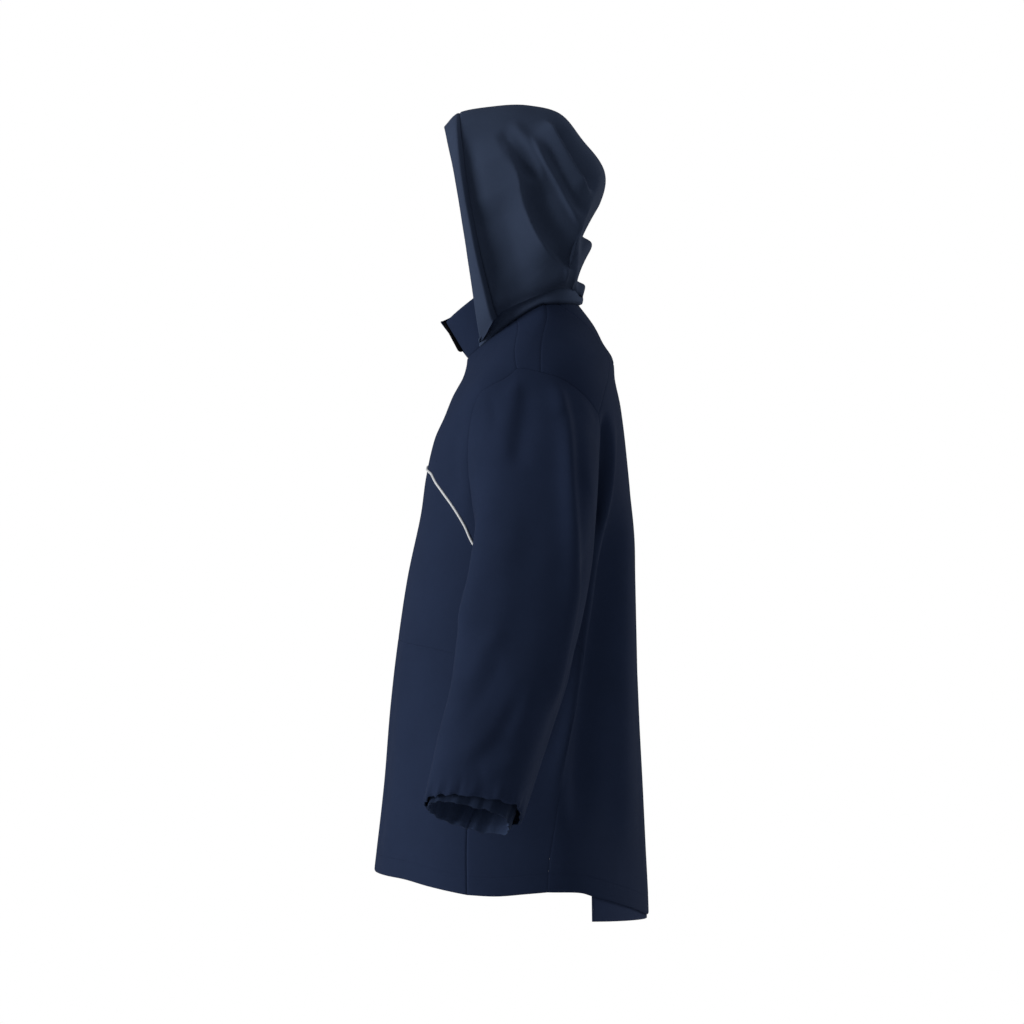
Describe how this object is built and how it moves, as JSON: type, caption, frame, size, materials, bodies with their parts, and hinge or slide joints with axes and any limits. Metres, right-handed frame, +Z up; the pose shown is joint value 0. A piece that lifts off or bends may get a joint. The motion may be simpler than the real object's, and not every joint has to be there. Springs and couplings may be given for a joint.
{
  "type": "training jacket",
  "caption": "Long hooded zip-up training jacket in dark navy cloth, filled out as worn, with a stand collar, pale piping across the chest and elastic inner cuffs.",
  "frame": {"origin": "middle of the neck ring, on the plane of symmetry, where the wearer's neck and shoulders hold the jacket", "axes": "+X to the wearer's left, -Y out of the front zip, +Z up"},
  "size_m": [0.9576, 0.3959, 1.175],
  "materials": {
    "jacket_cloth": "matte softshell with a faint nap",
    "hood_cloth": "matte softshell with a soft sheen",
    "collar_cloth": "matte softshell",
    "cuff_knit": "elastic knit, gathered",
    "piping_cord": "smooth pale piping",
    "zip_tape": "black coil zip"
  },
  "bodies": {
    "root": {"back": "jacket_cloth", "back_yoke": "jacket_cloth", "chest_piping_left": "piping_cord", "chest_piping_right": "piping_cord", "collar": "collar_cloth", "front_middle_left": "jacket_cloth", "front_middle_right": "jacket_cloth", "front_skirt_left": "jacket_cloth", "front_skirt_right": "jacket_cloth", "front_yoke_left": "jacket_cloth", "front_yoke_right": "jacket_cloth", "front_zip": "zip_tape", "hood_band": "hood_cloth", "hood_brim": "hood_cloth", "hood_left": "hood_cloth", "hood_right": "hood_cloth", "inner_cuff_left": "cuff_knit", "inner_cuff_right": "cuff_knit", "shoulder_blade_left": "jacket_cloth", "shoulder_blade_right": "jacket_cloth", "shoulder_strip_left": "jacket_cloth", "shoulder_strip_right": "jacket_cloth", "side_skirt_left": "jacket_cloth", "side_skirt_right": "jacket_cloth", "sleeve_left": "jacket_cloth", "sleeve_right": "jacket_cloth", "tail_flap": "jacket_cloth"}
  },
  "joints": []
}
